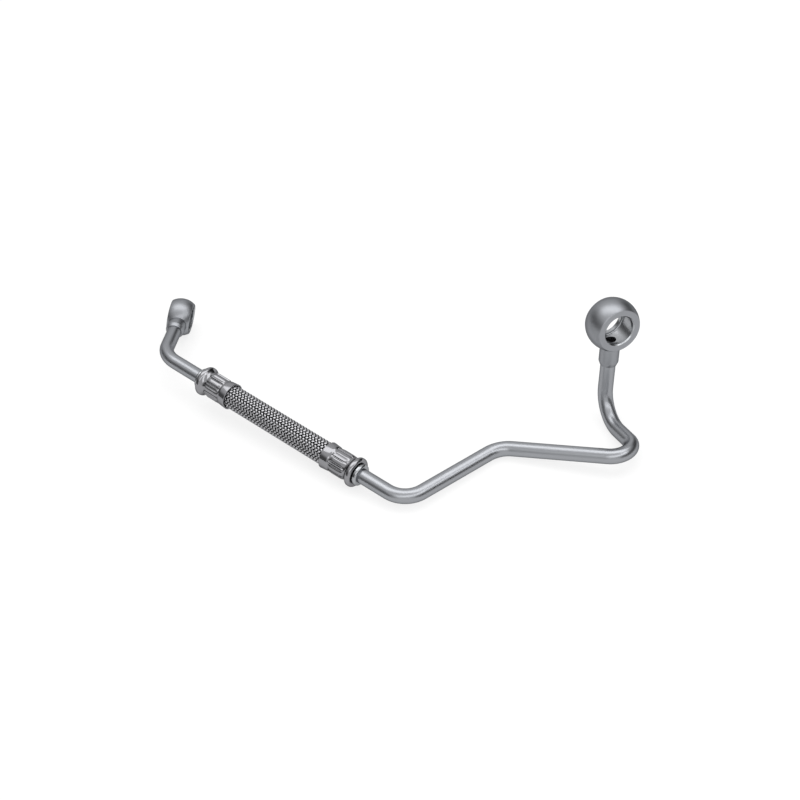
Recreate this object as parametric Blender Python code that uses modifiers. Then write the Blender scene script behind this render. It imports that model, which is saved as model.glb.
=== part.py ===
# Turbo oil feed line: two ball-shaped banjo eyes, two bent steel tubes and a braided hose between them.
# Metres, +Z up. It lies at rest on z = 0, with the origin under the middle of its bounding box.

import math

import bpy
from mathutils import Matrix, Vector

# Steel tube
TUBE_RADIUS = 0.0030
TUBE_WALL = 0.0008

# Clearances: between brazed or crimped layers, and between faces that meet
LAYER_GAP = 0.00015
FACE_GAP = 0.0003

# Large banjo eye, for an M12 hollow bolt
LARGE_BALL_RADIUS = 0.0105
LARGE_EYE_WIDTH = 0.0112
LARGE_BORE_RADIUS = 0.0061
LARGE_GROOVE_DEPTH = 0.0009
LARGE_LAND_WIDTH = 0.0020
LARGE_NECK_LENGTH = 0.0180

# Small banjo eye, for an M10 hollow bolt
SMALL_BALL_RADIUS = 0.0080
SMALL_EYE_WIDTH = 0.0095
SMALL_BORE_RADIUS = 0.0051
SMALL_GROOVE_DEPTH = 0.0006
SMALL_LAND_WIDTH = 0.0019
SMALL_NECK_LENGTH = 0.0129

# Both eyes: chamfer at the bore's mouths, and the neck that the tube is brazed into
BORE_CHAMFER = 0.0004
NECK_RADIUS = 0.0039
NECK_TAPER_LENGTH = 0.0015
NECK_LIP = 0.0003
SOCKET_DEPTH = 0.0050
PASSAGE_RADIUS = 0.0021

# Hose, along the straight run between the short tube's bend and the low bend
HOSE_START = 0.0239
SLEEVE_LENGTH = 0.0159
BRAID_EXPOSED_LENGTH = 0.0516

# Hose nipple: a collar that the tube is brazed into, and a barbed stem inside the liner
COLLAR_RADIUS = 0.0045
COLLAR_LENGTH = 0.0016
COLLAR_ROUNDING = 0.0008
NIPPLE_SOCKET_DEPTH = 0.0011
STEM_RADIUS = 0.0029
STEM_LENGTH = 0.0135
BARB_HEIGHT = 0.00015
BARB_COUNT = 3

# Hose layers, exposed and where the sleeve squeezes them
LINER_WALL = 0.0008
CRIMPED_LINER_WALL = 0.00055
BRAID_WALL = 0.00035
CRIMPED_BRAID_WALL = 0.0003
WEAVE_HEIGHT = 0.00035
STRANDS_EACH_WAY = 12
WEAVE_ROW_PITCH = 0.00079

# Crimp sleeve: a round shoulder, a squeezed waist with raised ridges between the dies' marks, and a flared mouth
SLEEVE_WALL = 0.00055
SHOULDER_RADIUS = 0.0062
SHOULDER_ROUNDING = 0.0011
SHOULDER_CREST = 0.0015
WAIST_START = 0.0044
WEB_THICKNESS = 0.0016
WEB_HOLE_CLEARANCE = 0.0004
MOUTH_LENGTH = 0.0046
MOUTH_RISE_LENGTH = 0.0016
MOUTH_CLEARANCE = 0.0002
RIDGE_COUNT = 8
RIDGE_HEIGHT = 0.00035
RIDGE_TOP_WIDTH = 0.0007
RIDGE_SIDE_SLOPE = 0.00025
RIDGE_END_SLOPE = 0.0007
RIDGE_START = 0.0039
RIDGE_LENGTH = 0.0083
LEFT_SLEEVE_ROLL = 0.0
RIGHT_SLEEVE_ROLL = math.radians(29)

# Route of the line's centre, with its corners before they are rounded.
# The third value is the height of the tube's underside.
SMALL_EYE_PLACE = (-0.0883, 0.0572)
SHORT_TUBE_BEND = (-0.0940, 0.0265, 0.0105)
LOW_BEND = (-0.0014, -0.0652, 0.00156)
TABLE_BEND = (0.0374, -0.0399, -0.0001)
ELBOW = (0.0924, -0.0617, 0.0058)
BACK_BEND = (0.0805, -0.0256, -0.0027)
LARGE_EYE = (0.0855, -0.0197, 0.0421)

SHORT_TUBE_BEND_RADIUS = 0.0125
LOW_BEND_RADIUS = 0.0105
TABLE_BEND_RADIUS = 0.0105
ELBOW_RADIUS = 0.0075
BACK_BEND_RADIUS = 0.0120

# Rough directions of the bores, made square to the necks below
LARGE_BORE_AIM = (0.36, -0.93, 0.10)
SMALL_BORE_AIM = (0.93, -0.28, -0.22)

# Facets
BALL_STEPS = 32
NECK_STEPS = 20
SLEEVE_STEPS = 32
INNER_STEPS = 20
TUBE_SECTION_RESOLUTION = 5
BEND_FACET_ANGLE = math.radians(12)


def on_route(place):
    """A route corner, lifted from the tube's underside to its centre."""
    return Vector(place) + Vector((0, 0, TUBE_RADIUS))


small_eye_centre = Vector(SMALL_EYE_PLACE + (SMALL_BALL_RADIUS,))
large_eye_centre = Vector(LARGE_EYE)
short_tube_corner = on_route(SHORT_TUBE_BEND)
low_corner = on_route(LOW_BEND)
table_corner = on_route(TABLE_BEND)
elbow_corner = on_route(ELBOW)
back_corner = on_route(BACK_BEND)
hose_direction = (low_corner - short_tube_corner).normalized()

# Radii of the hose's layers, from the inside out
flow_radius = TUBE_RADIUS - TUBE_WALL
brazed_socket_radius = TUBE_RADIUS + LAYER_GAP
liner_inner = STEM_RADIUS + BARB_HEIGHT + LAYER_GAP
liner_outer = liner_inner + LINER_WALL
crimped_liner_outer = liner_inner + CRIMPED_LINER_WALL
braid_inner = liner_outer + LAYER_GAP
braid_valley = braid_inner + BRAID_WALL
braid_peak = braid_valley + WEAVE_HEIGHT
crimped_braid_inner = crimped_liner_outer + LAYER_GAP
crimped_braid_outer = crimped_braid_inner + CRIMPED_BRAID_WALL
sleeve_inner = crimped_braid_outer + LAYER_GAP
sleeve_waist = sleeve_inner + SLEEVE_WALL
mouth_inner = braid_peak + MOUTH_CLEARANCE
mouth_outer = mouth_inner + SLEEVE_WALL

# Stations along a sleeve, counted from the outer face of its shoulder
layers_start = WEB_THICKNESS + FACE_GAP
crimp_end = SLEEVE_LENGTH - MOUTH_LENGTH
layers_full = SLEEVE_LENGTH - MOUTH_LENGTH / 4
hose_length = 2 * SLEEVE_LENGTH + BRAID_EXPOSED_LENGTH


def collection(name):
    made = bpy.data.collections.new(name)
    bpy.context.scene.collection.children.link(made)
    return made


def metal(name, colour, roughness, metallic=1.0):
    material = bpy.data.materials.new(name)
    material.use_nodes = True
    shader = material.node_tree.nodes["Principled BSDF"]
    shader.inputs["Base Color"].default_value = colour + (1.0,)
    shader.inputs["Roughness"].default_value = roughness
    shader.inputs["Metallic"].default_value = metallic
    return material


def add_object(name, data, group, material=None):
    obj = bpy.data.objects.new(name, data)
    group.objects.link(obj)
    if material:
        data.materials.append(material)
    return obj


def aim(obj, origin, axis, side):
    """Puts obj at origin with its Z along axis and its X as near as it can be to side."""
    z = Vector(axis).normalized()
    x = (Vector(side) - z * Vector(side).dot(z)).normalized()
    turn = Matrix((x, z.cross(x), z)).transposed().to_4x4()
    obj.matrix_world = Matrix.Translation(origin) @ turn


def turned(name, profile, steps, group, material=None, ring=True):
    """A turned piece about Z. The profile's (radius, z) points run down the outside, then up the inside."""
    points = [(radius, 0, z) for radius, z in profile]
    edges = [(i, i + 1) for i in range(len(points) - 1)]
    if ring:
        edges.append((len(points) - 1, 0))
    mesh = bpy.data.meshes.new(name)
    mesh.from_pydata(points, edges, [])
    obj = add_object(name, mesh, group, material)
    screw = obj.modifiers.new("Turn", "SCREW")
    screw.steps = steps
    screw.render_steps = steps
    screw.use_merge_vertices = True
    screw.merge_threshold = 0.00001
    screw.use_smooth_shade = True
    return obj


def arc_points(centre, radius, first, last, count):
    """Points in (radius, z) on an arc between two angles in degrees, measured up from the radial direction."""
    angles = [math.radians(first + (last - first) * k / count) for k in range(count + 1)]
    return [(centre[0] + radius * math.cos(a), centre[1] + radius * math.sin(a)) for a in angles]


def boolean(obj, other, operation):
    modifier = obj.modifiers.new(operation.title(), "BOOLEAN")
    modifier.operation = operation
    modifier.solver = "EXACT"
    modifier.object = other


def as_helper(obj):
    obj.hide_render = True
    obj.display_type = "WIRE"
    return obj


def rounded_route(corners, radii):
    """The centre line through the corners, with each inner corner replaced by an arc."""
    route = [corners[0]]
    for before, corner, after, radius in zip(corners, corners[1:], corners[2:], radii):
        back = (before - corner).normalized()
        ahead = (after - corner).normalized()
        half_turn = (math.pi - back.angle(ahead)) / 2
        centre = corner + (back + ahead).normalized() * radius / math.cos(half_turn)
        spoke = corner + back * radius * math.tan(half_turn) - centre
        axis = back.cross(ahead).normalized()
        steps = math.ceil(2 * half_turn / BEND_FACET_ANGLE)
        turns = [Matrix.Rotation(-2 * half_turn * k / steps, 3, axis) for k in range(steps + 1)]
        route += [centre + turn @ spoke for turn in turns]
    route.append(corners[-1])
    return route


def bent_tube(name, route, group, material):
    """A hollow tube with open ends along the route."""
    curve = bpy.data.curves.new(name, "CURVE")
    curve.dimensions = "3D"
    curve.bevel_depth = TUBE_RADIUS
    curve.bevel_resolution = TUBE_SECTION_RESOLUTION
    spline = curve.splines.new("POLY")
    spline.points.add(len(route) - 1)
    for point, place in zip(spline.points, route):
        point.co = (*place, 1)
    obj = add_object(name, curve, group, material)
    wall = obj.modifiers.new("Wall", "SOLIDIFY")
    wall.thickness = TUBE_WALL
    wall.offset = -1
    return obj


def banjo_eye(name, size, centre, neck_direction, bore_aim, parts, cutters, material):
    """A ball with two flats, bored through with an oil groove inside, and a neck with a socket for the tube."""
    half = size["width"] / 2
    bore = size["bore"]
    groove = bore + size["groove_depth"]
    groove_half = half - size["land"]
    rim_angle = math.degrees(math.asin(half / size["ball"]))
    profile = arc_points((0, 0), size["ball"], rim_angle, -rim_angle, 10)
    profile += [(bore + BORE_CHAMFER, -half), (bore, BORE_CHAMFER - half)]
    profile += [(bore, -groove_half), (groove, -groove_half)]
    profile += [(groove, groove_half), (bore, groove_half)]
    profile += [(bore, half - BORE_CHAMFER), (bore + BORE_CHAMFER, half)]
    eye = turned(name, profile, BALL_STEPS, parts, material)

    root = (groove + size["ball"]) / 2 - NECK_RADIUS / 6
    tip = size["neck_length"]
    neck_profile = [(0, tip), (brazed_socket_radius + NECK_LIP, tip)]
    neck_profile += [(NECK_RADIUS, tip - NECK_TAPER_LENGTH), (NECK_RADIUS, root), (0, root)]
    neck = as_helper(turned(name + "_neck", neck_profile, NECK_STEPS, cutters, ring=False))

    floor = tip - SOCKET_DEPTH
    passage_profile = [(0, tip + FACE_GAP), (brazed_socket_radius, tip + FACE_GAP)]
    passage_profile += [(brazed_socket_radius, floor), (PASSAGE_RADIUS, floor), (PASSAGE_RADIUS, 0), (0, 0)]
    passage = as_helper(turned(name + "_passage", passage_profile, NECK_STEPS, cutters, ring=False))

    bore_axis = Vector(bore_aim) - neck_direction * Vector(bore_aim).dot(neck_direction)
    aim(eye, centre, bore_axis, neck_direction)
    for helper in (neck, passage):
        aim(helper, centre, neck_direction, bore_axis)
    boolean(eye, neck, "UNION")
    boolean(eye, passage, "DIFFERENCE")
    return eye


def hose_nipple(name, place, direction, parts, material):
    """A collar outside the sleeve's web, and a barbed stem inside the liner."""
    collar_end = -FACE_GAP - COLLAR_LENGTH
    floor = collar_end + NIPPLE_SOCKET_DEPTH
    barb_pitch = (STEM_LENGTH - layers_start) / (BARB_COUNT + 1)
    stem = [(flow_radius, STEM_LENGTH), (STEM_RADIUS, STEM_LENGTH)]
    for k in range(BARB_COUNT):
        top = STEM_LENGTH - barb_pitch * (k + 0.5)
        stem += [(STEM_RADIUS, top), (STEM_RADIUS + BARB_HEIGHT, top - barb_pitch / 2)]
        stem += [(STEM_RADIUS, top - barb_pitch / 2 - BARB_HEIGHT)]
    rim = (COLLAR_RADIUS - COLLAR_ROUNDING, collar_end + COLLAR_ROUNDING)
    profile = stem + [(STEM_RADIUS, -FACE_GAP), (COLLAR_RADIUS, -FACE_GAP)]
    profile += arc_points(rim, COLLAR_ROUNDING, 0, -90, 3)
    profile += [(brazed_socket_radius, collar_end), (brazed_socket_radius, floor), (flow_radius, floor)]
    nipple = turned(name, profile, INNER_STEPS, parts, material)
    aim(nipple, place, direction, (0, 0, 1))
    return nipple


def shoulder_points():
    """The shoulder's rounded rim and the hollow that runs from it down to the waist, smooth where they meet."""
    rounding = SHOULDER_ROUNDING
    rim_radius = SHOULDER_RADIUS - rounding
    rise = sleeve_waist - rim_radius
    run = WAIST_START - SHOULDER_CREST
    hollow = (run ** 2 + rise ** 2 - rounding ** 2) / (2 * (rounding - rise))
    meeting = math.degrees(math.atan2(run, rise + hollow))
    points = arc_points((sleeve_waist + hollow, WAIST_START), hollow, 180, 180 + meeting, 3)[:-1]
    points += arc_points((rim_radius, SHOULDER_CREST), rounding, meeting, 0, 3)
    return points + arc_points((rim_radius, rounding), rounding, 0, -90, 4)


def ridge_bars(name, group):
    """One mesh with all the raised ridges: bars with sloped sides and ends, sunk into the waist."""
    top = sleeve_waist + RIDGE_HEIGHT
    foot = sleeve_waist - SLEEVE_WALL / 2
    points = []
    faces = []
    for k in range(RIDGE_COUNT):
        turn = Matrix.Rotation(2 * math.pi * k / RIDGE_COUNT, 3, "Z")
        first = len(points)
        for radius, slope in ((foot, 0), (top, 1)):
            half_width = RIDGE_TOP_WIDTH / 2 + RIDGE_SIDE_SLOPE * (1 - slope)
            start = RIDGE_START + RIDGE_END_SLOPE * slope
            end = RIDGE_START + RIDGE_LENGTH - RIDGE_END_SLOPE * slope
            corners = ((-half_width, start), (half_width, start), (half_width, end), (-half_width, end))
            points += [turn @ Vector((radius, across, along)) for across, along in corners]
        faces += [[first + i for i in face] for face in
                  ((0, 1, 2, 3), (7, 6, 5, 4), (0, 4, 5, 1), (1, 5, 6, 2), (2, 6, 7, 3), (3, 7, 4, 0))]
    mesh = bpy.data.meshes.new(name)
    mesh.from_pydata(points, [], faces)
    return as_helper(add_object(name, mesh, group))


def crimp_sleeve(name, place, direction, roll, parts, cutters, material):
    """A sleeve with a round shoulder, a ridged waist and a flared mouth."""
    rise_end = crimp_end + MOUTH_RISE_LENGTH
    profile = [(mouth_outer, SLEEVE_LENGTH), (mouth_outer - SLEEVE_WALL / 2, rise_end)]
    profile += [(sleeve_waist, crimp_end)] + shoulder_points()
    profile += [(STEM_RADIUS + WEB_HOLE_CLEARANCE, 0), (STEM_RADIUS + WEB_HOLE_CLEARANCE, WEB_THICKNESS)]
    profile += [(sleeve_inner, WEB_THICKNESS), (sleeve_inner, crimp_end)]
    profile += [(mouth_inner - SLEEVE_WALL / 2, rise_end), (mouth_inner, SLEEVE_LENGTH)]
    sleeve = turned(name, profile, SLEEVE_STEPS, parts, material)
    aim(sleeve, place, direction, (0, 0, 1))
    sleeve.matrix_world = sleeve.matrix_world @ Matrix.Rotation(roll, 4, "Z")
    ridges = ridge_bars(name + "_ridges", cutters)
    ridges.matrix_world = sleeve.matrix_world
    boolean(sleeve, ridges, "UNION")
    return sleeve


def both_ends(stations):
    """Stations given from the left end as (radius, distance) pairs, followed by their mirror at the right end."""
    left = list(stations)
    return left + [(radius, hose_length - distance) for radius, distance in reversed(left)]


def hose_liner(name, place, direction, parts, material):
    outer = both_ends([(crimped_liner_outer, layers_start), (crimped_liner_outer, crimp_end),
                       (liner_outer, layers_full)])
    profile = list(reversed(outer)) + [(liner_inner, layers_start), (liner_inner, hose_length - layers_start)]
    liner = turned(name, profile, INNER_STEPS, parts, material)
    aim(liner, place, direction, (0, 0, 1))
    return liner


def wire_braid(name, place, direction, parts, material):
    """A thin sleeve whose exposed wall rises at each crossing of the strands, every other point of a grid."""
    inner = both_ends([(crimped_braid_inner, layers_start), (crimped_braid_inner, crimp_end),
                       (braid_inner, layers_full)])
    outer_end = [(crimped_braid_outer, layers_start), (crimped_braid_outer, crimp_end)]
    rows = round(BRAID_EXPOSED_LENGTH / WEAVE_ROW_PITCH)
    row_pitch = BRAID_EXPOSED_LENGTH / rows
    woven = [(braid_valley, SLEEVE_LENGTH + row_pitch * k) for k in range(rows + 1)]
    outer = outer_end + woven + [(radius, hose_length - distance) for radius, distance in reversed(outer_end)]
    flat = turned(name + "_flat", list(reversed(outer)) + inner, 2 * STRANDS_EACH_WAY, parts)
    depsgraph = bpy.context.evaluated_depsgraph_get()
    mesh = bpy.data.meshes.new_from_object(flat.evaluated_get(depsgraph))
    bpy.data.objects.remove(flat)

    for vertex in mesh.vertices:
        radius = math.hypot(vertex.co.x, vertex.co.y)
        row = round((vertex.co.z - SLEEVE_LENGTH) / row_pitch)
        column = round(math.atan2(vertex.co.y, vertex.co.x) / math.pi * STRANDS_EACH_WAY)
        on_weave = radius > braid_valley - BRAID_WALL / 4 and 0 < row < rows
        if on_weave and (row + column) % 2 == 0:
            vertex.co.xy *= braid_peak / radius
    mesh.name = name
    braid = add_object(name, mesh, parts, material)
    aim(braid, place, direction, (0, 0, 1))
    return braid


def main():
    for obj in list(bpy.data.objects):
        bpy.data.objects.remove(obj)
    parts = collection("turbo_oil_feed_line")
    cutters = collection("cutters")
    satin_steel = (0.42, 0.43, 0.45)

    small_neck = (short_tube_corner - small_eye_centre).normalized()
    small = {"ball": SMALL_BALL_RADIUS, "width": SMALL_EYE_WIDTH, "bore": SMALL_BORE_RADIUS,
             "groove_depth": SMALL_GROOVE_DEPTH, "land": SMALL_LAND_WIDTH, "neck_length": SMALL_NECK_LENGTH}
    banjo_eye("small_banjo", small, small_eye_centre, small_neck, SMALL_BORE_AIM, parts, cutters,
              metal("small_banjo_steel", satin_steel, 0.42))

    large_neck = (back_corner - large_eye_centre).normalized()
    large = {"ball": LARGE_BALL_RADIUS, "width": LARGE_EYE_WIDTH, "bore": LARGE_BORE_RADIUS,
             "groove_depth": LARGE_GROOVE_DEPTH, "land": LARGE_LAND_WIDTH, "neck_length": LARGE_NECK_LENGTH}
    banjo_eye("large_banjo", large, large_eye_centre, large_neck, LARGE_BORE_AIM, parts, cutters,
              metal("large_banjo_steel", satin_steel, 0.42))

    hose_left = short_tube_corner + hose_direction * HOSE_START
    hose_right = hose_left + hose_direction * hose_length
    tube_inset = FACE_GAP + COLLAR_LENGTH - NIPPLE_SOCKET_DEPTH + FACE_GAP
    socket_inset = FACE_GAP - SOCKET_DEPTH
    small_tube_end = small_eye_centre + small_neck * (SMALL_NECK_LENGTH + socket_inset)
    large_tube_end = large_eye_centre + large_neck * (LARGE_NECK_LENGTH + socket_inset)

    short_route = rounded_route(
        [small_tube_end, short_tube_corner, hose_left - hose_direction * tube_inset], [SHORT_TUBE_BEND_RADIUS])
    bent_tube("short_tube", short_route, parts, metal("short_tube_steel", satin_steel, 0.38))
    long_route = rounded_route(
        [hose_right + hose_direction * tube_inset, low_corner, table_corner, elbow_corner, back_corner,
         large_tube_end],
        [LOW_BEND_RADIUS, TABLE_BEND_RADIUS, ELBOW_RADIUS, BACK_BEND_RADIUS])
    bent_tube("long_tube", long_route, parts, metal("long_tube_steel", satin_steel, 0.38))

    ends = (("left", hose_left, hose_direction, LEFT_SLEEVE_ROLL),
            ("right", hose_right, -hose_direction, RIGHT_SLEEVE_ROLL))
    for side, place, direction, roll in ends:
        hose_nipple(f"{side}_hose_nipple", place, direction, parts, metal(f"{side}_nipple_steel", satin_steel, 0.35))
        crimp_sleeve(f"{side}_crimp_sleeve", place, direction, roll, parts, cutters,
                     metal(f"{side}_sleeve_steel", satin_steel, 0.30))
    hose_liner("hose_liner", hose_left, hose_direction, parts,
               metal("liner_polymer", (0.03, 0.03, 0.03), 0.5, metallic=0.0))
    wire_braid("wire_braid", hose_left, hose_direction, parts, metal("braid_wire", (0.55, 0.55, 0.56), 0.25))


main()
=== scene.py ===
import math

import bmesh
import bpy
from mathutils import Matrix, Vector


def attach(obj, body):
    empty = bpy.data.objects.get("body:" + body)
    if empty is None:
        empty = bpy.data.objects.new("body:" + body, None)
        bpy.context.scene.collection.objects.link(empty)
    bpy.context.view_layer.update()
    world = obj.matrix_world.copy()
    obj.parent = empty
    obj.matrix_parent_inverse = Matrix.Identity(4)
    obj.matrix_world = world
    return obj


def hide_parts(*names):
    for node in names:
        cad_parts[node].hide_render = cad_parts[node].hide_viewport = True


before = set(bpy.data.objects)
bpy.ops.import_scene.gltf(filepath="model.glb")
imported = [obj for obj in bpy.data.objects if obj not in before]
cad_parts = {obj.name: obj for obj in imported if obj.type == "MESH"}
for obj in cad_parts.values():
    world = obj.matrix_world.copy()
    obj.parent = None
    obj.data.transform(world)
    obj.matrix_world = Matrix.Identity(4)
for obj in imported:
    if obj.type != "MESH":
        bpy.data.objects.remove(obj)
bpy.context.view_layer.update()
print("frame loaded:", len(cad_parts), "nodes")

mm = 0.001
weld = 0.001 * mm      # points closer than this are one


# Small helpers

def deselectAll():
    bpy.ops.object.select_all(action="DESELECT")


def makeActive(piece):
    deselectAll()
    piece.select_set(True)
    bpy.context.view_layer.objects.active = piece


def frameAlong(along, side):
    # columns: side made square, the third direction, along
    z = Vector(along).normalized()
    x = (Vector(side) - z * Vector(side).dot(z)).normalized()
    return Matrix((x, z.cross(x), z)).transposed()


def seatPiece(piece, origin, along, side, roll=0.0):
    # a piece modelled about its own Z goes to its seat, and its object goes back to the origin
    turn = frameAlong(along, side).to_4x4() @ Matrix.Rotation(roll, 4, "Z")
    piece.matrix_world = Matrix.Translation(Vector(origin)) @ turn
    makeActive(piece)
    bpy.ops.object.transform_apply(location=True, rotation=True, scale=True)


def finishModifiers(piece):
    makeActive(piece)
    for modifier in list(piece.modifiers):
        bpy.ops.object.modifier_apply(modifier=modifier.name)


def smoothShade(piece, degrees):
    makeActive(piece)
    bpy.ops.object.shade_smooth_by_angle(angle=math.radians(degrees))


def handOver(piece, material, slot, *replaced):
    piece.data.materials.clear()
    piece.data.materials.append(material)
    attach(piece, "root")
    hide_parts(*replaced)


def hexColour(code):
    channels = [int(code[i:i + 2], 16) / 255 for i in (1, 3, 5)]
    return tuple(c / 12.92 if c <= 0.04045 else ((c + 0.055) / 1.055) ** 2.4 for c in channels) + (1.0,)


def addNode(tree, kind, settings=None, inputs=None):
    # settings go on the node itself, inputs are values or sockets to link from
    node = tree.nodes.new(kind)
    for key, value in (settings or {}).items():
        setattr(node, key, value)
    for key, value in (inputs or {}).items():
        if isinstance(value, bpy.types.NodeSocket):
            tree.links.new(value, node.inputs[key])
        else:
            node.inputs[key].default_value = value
    return node


# Where things are, in metres, as in the CAD part

corner = {
    "smallEye": Vector((-0.0883, 0.0572, 0.0080)),
    "shortTubeBend": Vector((-0.0940, 0.0265, 0.0135)),
    "lowBend": Vector((-0.0014, -0.0652, 0.00456)),
    "tableBend": Vector((0.0374, -0.0399, 0.0029)),
    "elbow": Vector((0.0924, -0.0617, 0.0088)),
    "backBend": Vector((0.0805, -0.0256, 0.0003)),
    "largeEye": Vector((0.0855, -0.0197, 0.0421)),
}
bendRadius = {"shortTubeBend": 12.5 * mm, "lowBend": 10.5 * mm, "tableBend": 10.5 * mm,
              "elbow": 7.5 * mm, "backBend": 12.0 * mm}
hose = {
    "start": 23.9 * mm,          # from the short tube's corner to the left sleeve's shoulder
    "sleeve": 15.9 * mm,
    "exposed": 51.6 * mm,        # braid between the sleeves
}
hoseDirection = (corner["lowBend"] - corner["shortTubeBend"]).normalized()
hoseLength = 2 * hose["sleeve"] + hose["exposed"]
hoseLeft = corner["shortTubeBend"] + hoseDirection * hose["start"]
hoseRight = hoseLeft + hoseDirection * hoseLength
smallNeck = (corner["shortTubeBend"] - corner["smallEye"]).normalized()
largeNeck = (corner["backBend"] - corner["largeEye"]).normalized()
boreAim = {"small": Vector((0.93, -0.28, -0.22)), "large": Vector((0.36, -0.93, 0.10))}


# Camera, where the photograph was taken from

camera = bpy.data.objects.new("camera", bpy.data.cameras.new("camera"))
bpy.context.scene.collection.objects.link(camera)
camera.location = (0.68 * mm, -525.68 * mm, 474.61 * mm)
camera.rotation_euler = [math.radians(a) for a in (47.595, 4.767, -4.399)]
camera.data.sensor_width = 36.0
camera.data.lens = 77.985
bpy.context.scene.camera = camera


# Materials

def satinSteel(name, base, roughness, grain, bumpHeight, seat=None, stretch=(1, 1, 1)):
    # grain is in metres; seat turns the pattern to a piece's own axis, and stretch draws it out there
    material = bpy.data.materials.new(name)
    material.use_nodes = True
    tree = material.node_tree
    shader = tree.nodes["Principled BSDF"]
    shader.inputs["Base Color"].default_value = hexColour(base)
    shader.inputs["Metallic"].default_value = 1.0
    shader.inputs["Specular Tint"].default_value = hexColour("#959595")     # seen aslant, it stays dull
    place = addNode(tree, "ShaderNodeTexCoord")
    origin, turn = seat or ((0, 0, 0), Matrix.Identity(3))
    mapping = addNode(tree, "ShaderNodeMapping", {"vector_type": "TEXTURE"}, {
        "Vector": place.outputs["Object"], "Location": origin, "Rotation": turn.to_euler(), "Scale": stretch})
    fine = addNode(tree, "ShaderNodeTexNoise", inputs={
        "Vector": mapping.outputs[0], "Scale": 1 / grain, "Detail": 2.0, "Roughness": 0.6})
    broad = addNode(tree, "ShaderNodeTexNoise", inputs={
        "Vector": place.outputs["Object"], "Scale": 1 / (12 * mm), "Detail": 4.0})
    gloss = addNode(tree, "ShaderNodeMapRange", inputs={
        "Value": broad.outputs["Fac"], "From Min": 0.3, "From Max": 0.7,
        "To Min": roughness - 0.04, "To Max": roughness + 0.04})
    bump = addNode(tree, "ShaderNodeBump", inputs={
        "Height": fine.outputs["Fac"], "Strength": 0.6, "Distance": bumpHeight})
    tree.links.new(gloss.outputs[0], shader.inputs["Roughness"])
    tree.links.new(bump.outputs["Normal"], shader.inputs["Normal"])
    return material


def facedSteel(name, base, roughness, ringPitch, seat):
    # a lathe's facing cut: fine rings about the bore
    material = satinSteel(name, base, roughness, 0.30 * mm, 0.045 * mm)
    tree = material.node_tree
    place = addNode(tree, "ShaderNodeTexCoord")
    mapping = addNode(tree, "ShaderNodeMapping", {"vector_type": "TEXTURE"}, {
        "Vector": place.outputs["Object"], "Location": seat[0], "Rotation": seat[1].to_euler()})
    rings = addNode(tree, "ShaderNodeTexWave", {"wave_type": "RINGS", "rings_direction": "Z"}, {
        "Vector": mapping.outputs[0], "Distortion": 0.4,
        "Scale": 2 * math.pi / (20 * ringPitch)})      # the node runs through 20 radians a unit
    grain = next(n for n in tree.nodes if n.bl_idname == "ShaderNodeBump")
    cut = addNode(tree, "ShaderNodeBump", inputs={
        "Height": rings.outputs["Fac"], "Strength": 0.4, "Distance": 0.004 * mm,
        "Normal": grain.outputs["Normal"]})
    tree.links.new(cut.outputs["Normal"], tree.nodes["Principled BSDF"].inputs["Normal"])
    return material


def blackPolymer():
    # extruded carbon-filled fluoropolymer: dull black, seen only between the wires
    material = bpy.data.materials.new("extruded black fluoropolymer")
    material.use_nodes = True
    tree = material.node_tree
    shader = tree.nodes["Principled BSDF"]
    shader.inputs["Base Color"].default_value = hexColour("#0E0E0F")
    place = addNode(tree, "ShaderNodeTexCoord")
    haze = addNode(tree, "ShaderNodeTexNoise", inputs={
        "Vector": place.outputs["Object"], "Scale": 1 / (2 * mm)})
    gloss = addNode(tree, "ShaderNodeMapRange", inputs={
        "Value": haze.outputs["Fac"], "To Min": 0.45, "To Max": 0.6})
    tree.links.new(gloss.outputs[0], shader.inputs["Roughness"])
    return material


def braidingWire(seat):
    # drawn stainless wire: its own bright colour on top of the weave, with painted shade that darkens it
    # nearly to black where it dives under
    look = {"onTop": "#BEBEC1", "topRadius": 4.80 * mm, "paintedGapShade": "#303032", "fullShadeRadius": 4.50 * mm}
    material = satinSteel("drawn stainless braiding wire", look["onTop"], 0.18, 0.5 * mm, 0.001 * mm)
    tree = material.node_tree
    place = addNode(tree, "ShaderNodeTexCoord")
    mapping = addNode(tree, "ShaderNodeMapping", {"vector_type": "TEXTURE"}, {
        "Vector": place.outputs["Object"], "Location": seat[0], "Rotation": seat[1].to_euler()})
    across = addNode(tree, "ShaderNodeVectorMath", {"operation": "MULTIPLY"}, {
        0: mapping.outputs[0], 1: (1, 1, 0)})
    radius = addNode(tree, "ShaderNodeVectorMath", {"operation": "LENGTH"}, {0: across.outputs[0]})
    # painted shade: the share of the wire's own colour, from none at the radius where strands dive under to
    # all of it on top of the weave
    onTop = addNode(tree, "ShaderNodeMapRange", inputs={
        "Value": radius.outputs["Value"], "From Min": look["fullShadeRadius"], "From Max": look["topRadius"]})
    shade = addNode(tree, "ShaderNodeMix", {"data_type": "RGBA"}, {"Factor": onTop.outputs[0]})
    # colour A is the painted shade, colour B the wire's own colour
    shade.inputs[6].default_value = hexColour(look["paintedGapShade"])      # the node's colour A
    shade.inputs[7].default_value = hexColour(look["onTop"])       # and its colour B
    tree.links.new(shade.outputs[2], tree.nodes["Principled BSDF"].inputs["Base Color"])
    return material


hoseSeat = (tuple(hoseLeft), frameAlong(hoseDirection, (0, 0, 1)))
# drawn and plated: an even satin grey
tubeSteel = satinSteel("drawn steel tube, zinc-nickel plated", "#999B9F", 0.32, 0.20 * mm, 0.006 * mm)
# turned and plated: duller and a little grainy
eyeSteel = satinSteel("machined steel eye, zinc-nickel plated", "#929498", 0.38, 0.26 * mm, 0.022 * mm)
# turned smooth: a sharper gloss than the tubes'
nippleSteel = satinSteel("turned steel nipple, zinc-nickel plated", "#A0A2A5", 0.20, 0.16 * mm, 0.003 * mm)
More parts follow.
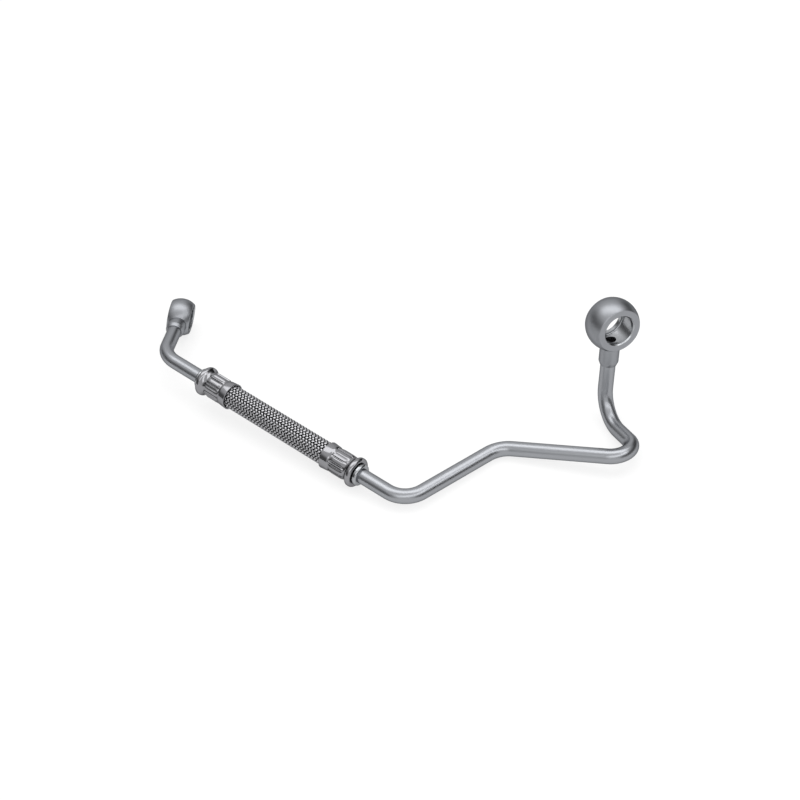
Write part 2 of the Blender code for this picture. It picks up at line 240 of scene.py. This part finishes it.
# pressed stainless: the sharpest reflections, with faint lines along the sleeve
sleeveSteel = satinSteel("pressed stainless steel sleeve", "#8E8E91", 0.14, 0.20 * mm, 0.002 * mm,
                         hoseSeat, (1, 1, 8))
wireSteel = braidingWire(hoseSeat)
linerPolymer = blackPolymer()
print("materials made")


# Tubes: a circle extruded along each straight and spun round each bend

tubeSizes = {"radius": 3.0 * mm, "wall": 0.8 * mm, "sides": 48, "bendStep": math.radians(4)}
# how far each end stops short of its eye's centre, or of the sleeve
tubeEnds = {"smallNeck": 8.2 * mm, "largeNeck": 13.3 * mm, "nipple": 1.1 * mm}


def bentTube(name, start, bends, end):
    places = [start] + [corner[bend] for bend in bends] + [end]
    deselectAll()
    bpy.ops.mesh.primitive_circle_add(vertices=tubeSizes["sides"], radius=tubeSizes["radius"])
    tube = bpy.context.active_object
    tube.name = name
    seatPiece(tube, start, places[1] - start, (0, 0, 1))
    bpy.ops.object.mode_set(mode="EDIT")
    bpy.ops.mesh.select_all(action="SELECT")
    here = start
    for before, bend, after, bendName in zip(places, places[1:], places[2:], bends):
        radius = bendRadius[bendName]
        back = (before - bend).normalized()
        ahead = (after - bend).normalized()
        halfTurn = (math.pi - back.angle(ahead)) / 2
        centre = bend + (back + ahead).normalized() * radius / math.cos(halfTurn)
        bpy.ops.mesh.extrude_edges_move(TRANSFORM_OT_translate={
            "value": bend + back * radius * math.tan(halfTurn) - here})
        bpy.ops.mesh.spin(steps=math.ceil(2 * halfTurn / tubeSizes["bendStep"]), angle=2 * halfTurn,
                          center=centre, axis=back.cross(ahead).normalized())
        here = bend + ahead * radius * math.tan(halfTurn)
    bpy.ops.mesh.extrude_edges_move(TRANSFORM_OT_translate={"value": end - here})
    bpy.ops.mesh.select_all(action="SELECT")
    bpy.ops.mesh.remove_doubles(threshold=weld)
    bpy.ops.mesh.normals_make_consistent(inside=False)
    bpy.ops.object.mode_set(mode="OBJECT")
    wall = tube.modifiers.new("wall", "SOLIDIFY")
    wall.thickness = tubeSizes["wall"]
    wall.offset = -1
    finishModifiers(tube)
    smoothShade(tube, 40)
    return tube


shortTube = bentTube("shortTube", corner["smallEye"] + smallNeck * tubeEnds["smallNeck"], ["shortTubeBend"],
                     hoseLeft - hoseDirection * tubeEnds["nipple"])
handOver(shortTube, tubeSteel, "tube_steel", "short_tube")
longTube = bentTube("longTube", hoseRight + hoseDirection * tubeEnds["nipple"],
                    ["lowBend", "tableBend", "elbow", "backBend"],
                    corner["largeEye"] + largeNeck * tubeEnds["largeNeck"])
handOver(longTube, tubeSteel, "tube_steel", "long_tube")
print("tubes bent")


# Turned pieces: a ring extruded and resized from point to point of a profile about Z

def turnRings(name, profile, segments, closed):
    radius, height = profile[0]
    points = profile + profile[:1] if closed else profile
    deselectAll()
    bpy.ops.mesh.primitive_circle_add(vertices=segments, radius=radius, location=(0, 0, height))
    piece = bpy.context.active_object
    piece.name = name
    bpy.ops.object.transform_apply(location=True)
    bpy.ops.object.mode_set(mode="EDIT")
    bpy.ops.mesh.select_all(action="SELECT")
    for (r, z), (nextR, nextZ) in zip(points, points[1:]):
        bpy.ops.mesh.extrude_edges_move(TRANSFORM_OT_translate={"value": (0, 0, nextZ - z)})
        bpy.ops.transform.resize(value=(nextR / r, nextR / r, 1), center_override=(0, 0, nextZ))
    bpy.ops.mesh.select_all(action="SELECT")
    bpy.ops.mesh.remove_doubles(threshold=weld)
    if not closed:
        bpy.ops.mesh.fill_holes(sides=0)     # the two small end rings
    bpy.ops.mesh.select_all(action="SELECT")
    bpy.ops.mesh.normals_make_consistent(inside=False)
    bpy.ops.object.mode_set(mode="OBJECT")
    return piece


def arc(centre, radius, first, last, count):
    # points of (radius, z) on an arc, its angles in degrees up from the radial direction
    angles = [math.radians(first + (last - first) * k / count) for k in range(count + 1)]
    return [(centre[0] + radius * math.cos(a), centre[1] + radius * math.sin(a)) for a in angles]


def combine(piece, tool, operation):
    modifier = piece.modifiers.new(operation.lower(), "BOOLEAN")
    modifier.operation = operation
    modifier.solver = "EXACT"
    modifier.object = tool
    finishModifiers(piece)
    bpy.data.objects.remove(tool)


# Banjo eyes: a ball with two faced flats, bored and grooved, and a neck that the tube is brazed into

eyeSizes = {
    "small": {"ball": 8.0 * mm, "width": 9.5 * mm, "bore": 5.1 * mm, "groove": 0.6 * mm, "land": 1.9 * mm,
              "neckEnd": 12.9 * mm},
    "large": {"ball": 10.5 * mm, "width": 11.2 * mm, "bore": 6.1 * mm, "groove": 0.9 * mm, "land": 2.0 * mm,
              "neckEnd": 18.0 * mm},
    "neck": 3.9 * mm, "fillet": 0.5 * mm, "taper": 1.5 * mm, "lip": 3.3 * mm, "socket": 3.02 * mm,
    "socketDepth": 5.0 * mm, "passage": 2.1 * mm, "chamfer": 0.4 * mm, "rim": 0.12 * mm,
    "noseShare": 0.75,           # the grooving tool's rounded nose, as a share of the groove's depth
    "neckCore": 0.4 * mm, "passageCore": 0.3 * mm,      # where the two profiles start, off their axis
    "rootDrop": 0.4 * mm,        # the neck starts this far inside the middle of the ball's wall
    "breakIn": 1.5 * mm, "clear": 0.5 * mm,             # the passage reaches past the groove and the tip
    "segments": 128, "neckSegments": 96,
}


def banjoEye(name, size, centre, neckDirection, aim):
    s = eyeSizes
    ball, half, bore = size["ball"], size["width"] / 2, size["bore"]
    grooveRadius = bore + size["groove"]
    grooveHalf = half - size["land"]
    nose = s["noseShare"] * size["groove"]
    rimAngle = math.degrees(math.asin((half - s["rim"] / 2) / ball))
    flatRadius = math.sqrt(ball ** 2 - half ** 2) - s["rim"] / 2
    profile = arc((0, 0), ball, rimAngle, -rimAngle, 36)
    lower = [(flatRadius, half), (bore + s["chamfer"], half), (bore, half - s["chamfer"]),
             (bore, grooveHalf)] + arc((grooveRadius - nose, grooveHalf - nose), nose, 90, 0, 6)
    profile += [(r, -z) for r, z in lower] + list(reversed(lower))
    eye = turnRings(name, profile, s["segments"], closed=True)

    # the neck's profile runs from inside the ball out along the neck: fillet, cylinder, and a taper
    # whose two ends are rounded by the small offsets
    filletSpan = s["neck"] + s["fillet"]
    filletHeight = math.sqrt((ball + s["fillet"]) ** 2 - filletSpan ** 2)
    meeting = math.degrees(math.atan2(filletHeight, filletSpan))
    tip = size["neckEnd"]
    root = (grooveRadius + ball) / 2 - s["rootDrop"]
    ballPoint = (filletSpan - s["fillet"] * math.cos(math.radians(meeting)),
                 filletHeight - s["fillet"] * math.sin(math.radians(meeting)))
    neckProfile = [(s["neckCore"], root), (s["neck"], root),
                   (ballPoint[0] - 0.02 * mm, ballPoint[1] - 0.12 * mm)]
    neckProfile += arc((filletSpan, filletHeight), s["fillet"], 180 + meeting, 180, 8)
    neckProfile += [(s["neck"], tip - s["taper"] - 0.3 * mm), (s["neck"] - 0.04 * mm, tip - s["taper"]),
                    (s["neck"] - 0.16 * mm, tip - s["taper"] + 0.25 * mm),
                    (s["lip"] + 0.06 * mm, tip - 0.2 * mm), (s["lip"] - 0.06 * mm, tip),
                    (s["neckCore"], tip)]
    neck = turnRings(name + "Neck", neckProfile, s["neckSegments"], closed=False)

    floor = tip - s["socketDepth"]
    mouth = grooveRadius - s["breakIn"]
    past = tip + s["clear"]
    passageProfile = [(s["passageCore"], mouth), (s["passage"], mouth), (s["passage"], floor),
                      (s["socket"], floor), (s["socket"], past), (s["passageCore"], past)]
    passage = turnRings(name + "Passage", passageProfile, s["neckSegments"], closed=False)

    bore = aim - neckDirection * aim.dot(neckDirection)
    seatPiece(eye, centre, bore, neckDirection)
    for tool in (neck, passage):
        seatPiece(tool, centre, neckDirection, bore)
    combine(eye, neck, "UNION")
    combine(eye, passage, "DIFFERENCE")
    smoothShade(eye, 30)
    return eye, bore.normalized()


def faceFlats(eye, centre, bore, size, faced, boredWithPaintedLight):
    # the two flats get the faced finish, and the bore and its groove the machined bore finish, painted
    # lighter than the eye to lift the shade inside the bore
    square, onFlat, nearGroove = 0.999, 0.01 * mm, 0.05 * mm
    eye.data.materials.append(faced)
    eye.data.materials.append(boredWithPaintedLight)
    for face in eye.data.polygons:
        along = (face.center - centre).dot(bore)
        out = face.center - centre - bore * along
        if abs(face.normal.dot(bore)) > square and abs(abs(along) - size["width"] / 2) < onFlat:
            face.material_index = 1
        elif out.length < size["bore"] + size["groove"] + nearGroove and face.normal.dot(out) < 0:
            face.material_index = 2


for side, centre, direction in (("small", corner["smallEye"], smallNeck),
                                ("large", corner["largeEye"], largeNeck)):
    eye, boreAxis = banjoEye(side + "Eye", eyeSizes[side], centre, direction, boreAim[side])
    handOver(eye, eyeSteel, "eye_steel", side + "_banjo")
    faced = facedSteel("faced steel, " + side + " eye", "#94969A", 0.36, 0.22 * mm,
                       (tuple(centre), frameAlong(boreAxis, direction)))
    # the bore's machined rings, on a base colour painted lighter than the plated eye: painted light that
    # lifts the shade in the bore and its groove
    boredWithPaintedLight = facedSteel("bored steel, " + side + " eye", "#A4A6A9", 0.26, 0.5 * mm,
                       (tuple(centre), frameAlong(direction, boreAxis)))
    faceFlats(eye, centre, boreAxis, eyeSizes[side], faced, boredWithPaintedLight)
print("eyes turned")


# Hose nipples: a collar that shows past the sleeve, and a barbed stem inside the liner

nippleSizes = {
    "collar": 4.5 * mm, "collarLength": 1.6 * mm, "rounding": 0.8 * mm, "edge": 0.15 * mm, "gap": 0.3 * mm,
    "socket": 3.02 * mm, "socketDepth": 1.1 * mm, "bore": 2.2 * mm, "segments": 96,
    "stem": 2.9 * mm, "stemLength": 13.5 * mm, "plainStem": 1.9 * mm, "barb": 0.15 * mm, "barbs": 3,
}


def hoseNipple(name, place, direction):
    n = nippleSizes
    low = -n["gap"] - n["collarLength"]
    floor = low + n["socketDepth"]
    pitch = (n["stemLength"] - n["plainStem"]) / (n["barbs"] + 1)
    profile = [(n["bore"], n["stemLength"]), (n["stem"], n["stemLength"])]
    for k in range(n["barbs"]):
        top = n["stemLength"] - pitch * (k + 0.5)
        profile += [(n["stem"], top), (n["stem"] + n["barb"], top - pitch / 2),
                    (n["stem"], top - pitch / 2 - n["barb"])]
    profile += [(n["stem"], -n["gap"]), (n["collar"] - n["edge"], -n["gap"]),
                (n["collar"], -n["gap"] - n["edge"])]
    profile += arc((n["collar"] - n["rounding"], low + n["rounding"]), n["rounding"], 0, -90, 12)
    profile += [(n["socket"], low), (n["socket"], floor), (n["bore"], floor)]
    nipple = turnRings(name, profile, n["segments"], closed=True)
    seatPiece(nipple, place, direction, (0, 0, 1))
    smoothShade(nipple, 35)
    return nipple


for side, place, direction in (("left", hoseLeft, hoseDirection), ("right", hoseRight, -hoseDirection)):
    nipple = hoseNipple(side + "Nipple", place, direction)
    handOver(nipple, nippleSteel, "nipple_steel", side + "_hose_nipple")
print("nipples turned")


# Crimp sleeves: a round shoulder, a waist with thin ridges between the dies' bulging marks, a flared mouth

# angles are in degrees, and those of the ridges and slots are from the middle of a ridge
sleeveSizes = {
    "shoulder": 6.2 * mm, "bead": 1.1 * mm, "crest": 1.5 * mm,
    "waist": 4.9 * mm, "waistStart": 4.4 * mm, "crimpEnd": 11.3 * mm,
    "rise": 1.6 * mm, "mouth": 5.6 * mm, "lip": 0.12 * mm,
    "wall": 0.55 * mm, "web": 1.6 * mm, "webHole": 3.3 * mm, "inner": 4.35 * mm,
    "ridges": 8, "ridgeStart": 4.05 * mm, "ridgeEnd": 11.95 * mm,
    "ridge": 0.44 * mm, "ridgeRun": 0.7 * mm, "ridgeHalfAngle": 5.0,
    "land": 0.36 * mm, "landRun": 1.6 * mm, "slotEdge": 6.75, "flank": 9.0,
    "segments": 160, "waistRings": 12, "edge": 0.05 * mm, "edgeAngle": 35,
    "roll": {"left": 0.0, "right": 29.0},
}


def crimpSleeve(name, place, direction, roll):
    s = sleeveSizes
    length = hose["sleeve"]
    beadRadius = s["shoulder"] - s["bead"]
    rise = s["waist"] - beadRadius
    run = s["waistStart"] - s["crest"]
    hollow = (run ** 2 + rise ** 2 - s["bead"] ** 2) / (2 * (s["bead"] - rise))
    meeting = math.degrees(math.atan2(run, rise + hollow))
    midMouth = s["mouth"] - s["wall"] / 2
    eased = [0.5 - 0.5 * math.cos(math.pi * k / 8) for k in range(9)]

    outside = [(s["mouth"] - s["lip"], length), (s["mouth"], length - s["lip"])]
    outside += [(s["waist"] + (midMouth - s["waist"]) * e, s["crimpEnd"] + s["rise"] * k / 8)
                for k, e in reversed(list(enumerate(eased)))]
    ring = (s["crimpEnd"] - s["waistStart"]) / s["waistRings"]
    outside += [(s["waist"], s["waistStart"] + ring * k) for k in range(s["waistRings"] - 1, 0, -1)]
    outside += arc((s["waist"] + hollow, s["waistStart"]), hollow, 180, 180 + meeting, 8)[:-1]
    outside += arc((beadRadius, s["crest"]), s["bead"], meeting, 0, 8)
    outside += arc((beadRadius, s["bead"]), s["bead"], 0, -90, 12)
    inside = [(s["webHole"], 0), (s["webHole"], s["web"]), (s["inner"], s["web"]),
              (s["inner"], s["crimpEnd"]), (midMouth - s["wall"], s["crimpEnd"] + s["rise"]),
              (s["mouth"] - s["wall"], length - s["lip"]), (s["mouth"] - s["wall"] + s["lip"], length)]
    sleeve = turnRings(name, outside + inside, s["segments"], closed=True)

    # each ring of the waist is lifted column by column: thin ridges, and a bulge in each die's mark
    step = 360 / s["segments"]
    pitch = 360 / s["ridges"]
    makeActive(sleeve)
    bpy.ops.object.mode_set(mode="EDIT")
    bpy.ops.mesh.select_mode(type="VERT")
    columns = {}
    for vertex in bmesh.from_edit_mesh(sleeve.data).verts:
        if vertex.co.xy.length > s["inner"] + s["wall"] / 2 and s["ridgeStart"] < vertex.co.z < s["ridgeEnd"]:
            angle = abs((math.degrees(math.atan2(vertex.co.y, vertex.co.x)) + pitch / 2) % pitch - pitch / 2)
            columns.setdefault((round(angle / step), round(vertex.co.z / mm, 3)), []).append(vertex.index)
    for (column, height), members in columns.items():
        flank = min(1, max(0, (column * step - s["slotEdge"]) / s["flank"]))
        ends = min(height - s["ridgeStart"] / mm, s["ridgeEnd"] / mm - height) * mm
        if column * step < s["ridgeHalfAngle"]:
            lift = s["ridge"] * min(1, ends / s["ridgeRun"])
        else:
            lift = s["land"] * (0.5 - 0.5 * math.cos(math.pi * flank)) * min(1, ends / s["landRun"])
        bpy.ops.mesh.select_all(action="DESELECT")
        cage = bmesh.from_edit_mesh(sleeve.data)
        cage.verts.ensure_lookup_table()
        for index in members:
            cage.verts[index].select_set(True)
        factor = 1 + lift / cage.verts[members[0]].co.xy.length
        bmesh.update_edit_mesh(sleeve.data)
        bpy.ops.transform.resize(value=(factor, factor, 1), center_override=(0, 0, 0))
    bpy.ops.object.mode_set(mode="OBJECT")
    seatPiece(sleeve, place, direction, (0, 0, 1), math.radians(roll))
    edges = sleeve.modifiers.new("edges", "BEVEL")
    edges.width = s["edge"]
    edges.segments = 2
    edges.limit_method = "ANGLE"
    edges.angle_limit = math.radians(s["edgeAngle"])
    finishModifiers(sleeve)
    smoothShade(sleeve, 40)
    return sleeve


for side, place, direction in (("left", hoseLeft, hoseDirection), ("right", hoseRight, -hoseDirection)):
    sleeve = crimpSleeve(side + "Sleeve", place, direction, sleeveSizes["roll"][side])
    handOver(sleeve, sleeveSteel, "sleeve_steel", side + "_crimp_sleeve")
print("sleeves pressed")


# Braid: flat strands of three wires, twelve each way, each passing over one strand and under the next

braidSizes = {
    "strands": 12, "lead": 19.0 * mm, "middle": 4.43 * mm, "rise": 0.27 * mm,
    "flatness": 2.6,             # how long a strand stays on top before it dives
    "wires": 3, "halfWidth": 0.37 * mm, "halfThickness": 0.13 * mm, "groove": 0.03 * mm,
    "crown": 0.35,               # how much thinner a strand is at its edges
    "intoMouth": 1.5 * mm, "pointsPerCrossing": 4,
}


def strandSection():
    # a strand cut across: a low hump for each wire on both faces; its width lies along Y
    b = braidSizes
    outline = bpy.data.curves.new("strandSection", "CURVE")
    spline = outline.splines.new("POLY")
    spline.points.add(b["wires"] * 8 - 1)
    spline.use_cyclic_u = True
    wire = b["halfWidth"] / b["wires"]
    top, side = b["halfThickness"], b["halfThickness"] - b["groove"]
    hump = [(side, -0.9 * wire), (top, -0.45 * wire), (top, 0.45 * wire), (side, 0.9 * wire)]
    middles = [(2 * w + 1) * wire - b["halfWidth"] for w in range(b["wires"])]
    half = [(x, middle + y) for middle in middles for x, y in hump]
    half = [(x * (1 - b["crown"] * (y / b["halfWidth"]) ** 2), y) for x, y in half]
    for point, (x, y) in zip(spline.points, half + [(-x, -y) for x, y in half]):
        point.co = (x, y, 0, 1)
    section = bpy.data.objects.new("strandSection", outline)
    bpy.context.scene.collection.objects.link(section)
    return section


def strandFamily(name, hand, section):
    # hand is 1 or -1: one strand is swept along its helix, then copied round the hose
    b = braidSizes
    rate = hand * 2 * math.pi / b["lead"]
    crossing = b["lead"] / (2 * b["strands"])
    run = hose["exposed"] + 2 * b["intoMouth"]
    count = round(run / crossing * b["pointsPerCrossing"])
    path = bpy.data.curves.new(name, "CURVE")
    path.dimensions = "3D"
    path.twist_mode = "Z_UP"          # keeps a strand flat on the hose
    path.bevel_mode = "OBJECT"
    path.bevel_object = section
    path.use_fill_caps = True
    spline = path.splines.new("POLY")
    spline.points.add(count)
    for k, point in enumerate(spline.points):
        along = run * k / count
        wave = math.tanh(b["flatness"] * math.cos(math.pi * along / crossing)) / math.tanh(b["flatness"])
        radius = b["middle"] + hand * b["rise"] * wave
        point.co = (radius * math.cos(rate * along), radius * math.sin(rate * along),
                    hose["sleeve"] - b["intoMouth"] + along, 1)
    strand = bpy.data.objects.new(name, path)
    bpy.context.scene.collection.objects.link(strand)
    makeActive(strand)
    bpy.ops.object.convert(target="MESH")
    family = bpy.context.active_object
    twins = []
    for k in range(1, b["strands"]):
        twin = family.copy()
        twin.data = family.data.copy()
        twin.matrix_world = Matrix.Rotation(2 * math.pi * k / b["strands"], 4, "Z")
        bpy.context.scene.collection.objects.link(twin)
        twins.append(twin)
    makeActive(family)
    for twin in twins:
        twin.select_set(True)
    bpy.ops.object.join()
    bpy.ops.object.mode_set(mode="EDIT")
    bpy.ops.mesh.select_all(action="SELECT")
    bpy.ops.mesh.normals_make_consistent(inside=False)
    bpy.ops.object.mode_set(mode="OBJECT")
    seatPiece(family, hoseLeft, hoseDirection, (0, 0, 1))
    bpy.ops.object.shade_smooth()
    return family


section = strandSection()
for name, hand in (("leftHandStrands", -1), ("rightHandStrands", 1)):
    handOver(strandFamily(name, hand, section), wireSteel, "braid_wire", "wire_braid")
bpy.data.objects.remove(section)
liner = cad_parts["hose_liner"]
liner.data.materials.clear()
liner.data.materials.append(linerPolymer)
print("braid woven")


# Studio: white floor, dark left and right horizons, softboxes overhead, in front and at the right

bpy.context.scene.view_settings.view_transform = "Standard"

studio = {
    "floor": 3.0, "floorLift": -0.0002,                      # metres
    "paper": "#868686", "paperGlow": 0.76,
    "dome": 0.95,                                            # light from all round, without its dark sides
    "bandFade": (0.35, 0.80),                                # heights on the unit sphere, bottom to top
    "right": {"fade": (0.25, 0.60), "levels": (0.0, 0.90)},  # widths on the unit sphere, and how dark
    "left": {"fade": (-0.85, -0.40), "levels": (0.8, 0.0)},
}
softboxes = {                                                # metres and watts
    "overheadSoftbox": {"place": (0.05, 0.26, 1.05), "size": (1.5, 0.7), "power": 5.6},
    "frontSoftbox": {"place": (0.25, -0.95, 0.90), "size": (2.0, 0.5), "power": 4.6},
    "rightSoftbox": {"place": (0.95, -0.40, 0.95), "size": (0.5, 0.4), "power": 1.1},
}


def onlySeen(tree):
    # 1 for rays from the camera, off metal and through glass
    path = addNode(tree, "ShaderNodeLightPath")
    sharp = addNode(tree, "ShaderNodeMath", {"operation": "MAXIMUM"}, {
        0: path.outputs["Is Camera Ray"], 1: path.outputs["Is Glossy Ray"]})
    return addNode(tree, "ShaderNodeMath", {"operation": "MAXIMUM"}, {
        0: sharp.outputs[0], 1: path.outputs["Is Transmission Ray"]}).outputs[0]


def fadeAcross(tree, value, fade, levels):
    return addNode(tree, "ShaderNodeMapRange", {"interpolation_type": "SMOOTHSTEP"}, {
        "Value": value, "From Min": fade[0], "From Max": fade[1], "To Min": levels[0], "To Max": levels[1]})


deselectAll()
bpy.ops.mesh.primitive_plane_add(size=studio["floor"], location=(0, 0, studio["floorLift"]))
floor = bpy.context.active_object
floor.name = "floor"
floorPaper = bpy.data.materials.new("white paper sweep")
floorPaper.use_nodes = True
tree = floorPaper.node_tree
tree.nodes.remove(tree.nodes["Principled BSDF"])
paper = addNode(tree, "ShaderNodeBsdfDiffuse", inputs={"Color": hexColour(studio["paper"])})
seen = addNode(tree, "ShaderNodeMath", {"operation": "MULTIPLY"}, {0: onlySeen(tree), 1: studio["paperGlow"]})
glow = addNode(tree, "ShaderNodeEmission", inputs={"Strength": seen.outputs[0]})
both = addNode(tree, "ShaderNodeAddShader", inputs={0: paper.outputs[0], 1: glow.outputs[0]})
tree.links.new(both.outputs[0], tree.nodes["Material Output"].inputs["Surface"])
floor.data.materials.append(floorPaper)

world = bpy.data.worlds.new("studio")
bpy.context.scene.world = world
world.use_nodes = True
tree = world.node_tree
place = addNode(tree, "ShaderNodeTexCoord")
split = addNode(tree, "ShaderNodeSeparateXYZ", inputs={"Vector": place.outputs["Generated"]})
band = fadeAcross(tree, split.outputs["Z"], studio["bandFade"], (1.0, 0.0))
right = fadeAcross(tree, split.outputs["X"], studio["right"]["fade"], studio["right"]["levels"])
left = fadeAcross(tree, split.outputs["X"], studio["left"]["fade"], studio["left"]["levels"])
sides = addNode(tree, "ShaderNodeMath", {"operation": "ADD"}, {0: right.outputs[0], 1: left.outputs[0]})
dark = addNode(tree, "ShaderNodeMath", {"operation": "MULTIPLY"}, {0: band.outputs[0], 1: sides.outputs[0]})
shade = addNode(tree, "ShaderNodeMath", {"operation": "SUBTRACT"}, {0: studio["dome"], 1: dark.outputs[0]})
path = addNode(tree, "ShaderNodeLightPath")
level = addNode(tree, "ShaderNodeMix", {"data_type": "FLOAT"}, {
    "Factor": path.outputs["Is Camera Ray"], "A": shade.outputs[0], "B": 1.0})
tree.links.new(level.outputs[0], tree.nodes["Background"].inputs["Strength"])
tree.nodes["Background"].inputs["Color"].default_value = hexColour("#FFFFFF")

for name, box in softboxes.items():
    lamp = bpy.data.lights.new(name, "AREA")
    lamp.shape = "RECTANGLE"
    lamp.size, lamp.size_y = box["size"]
    lamp.energy = box["power"]
    lampHolder = bpy.data.objects.new(name, lamp)
    bpy.context.scene.collection.objects.link(lampHolder)
    lampHolder.location = box["place"]
    # each faces the object at the origin
    lampHolder.rotation_euler = (-Vector(box["place"])).to_track_quat("-Z", "Y").to_euler()
print("studio lit")
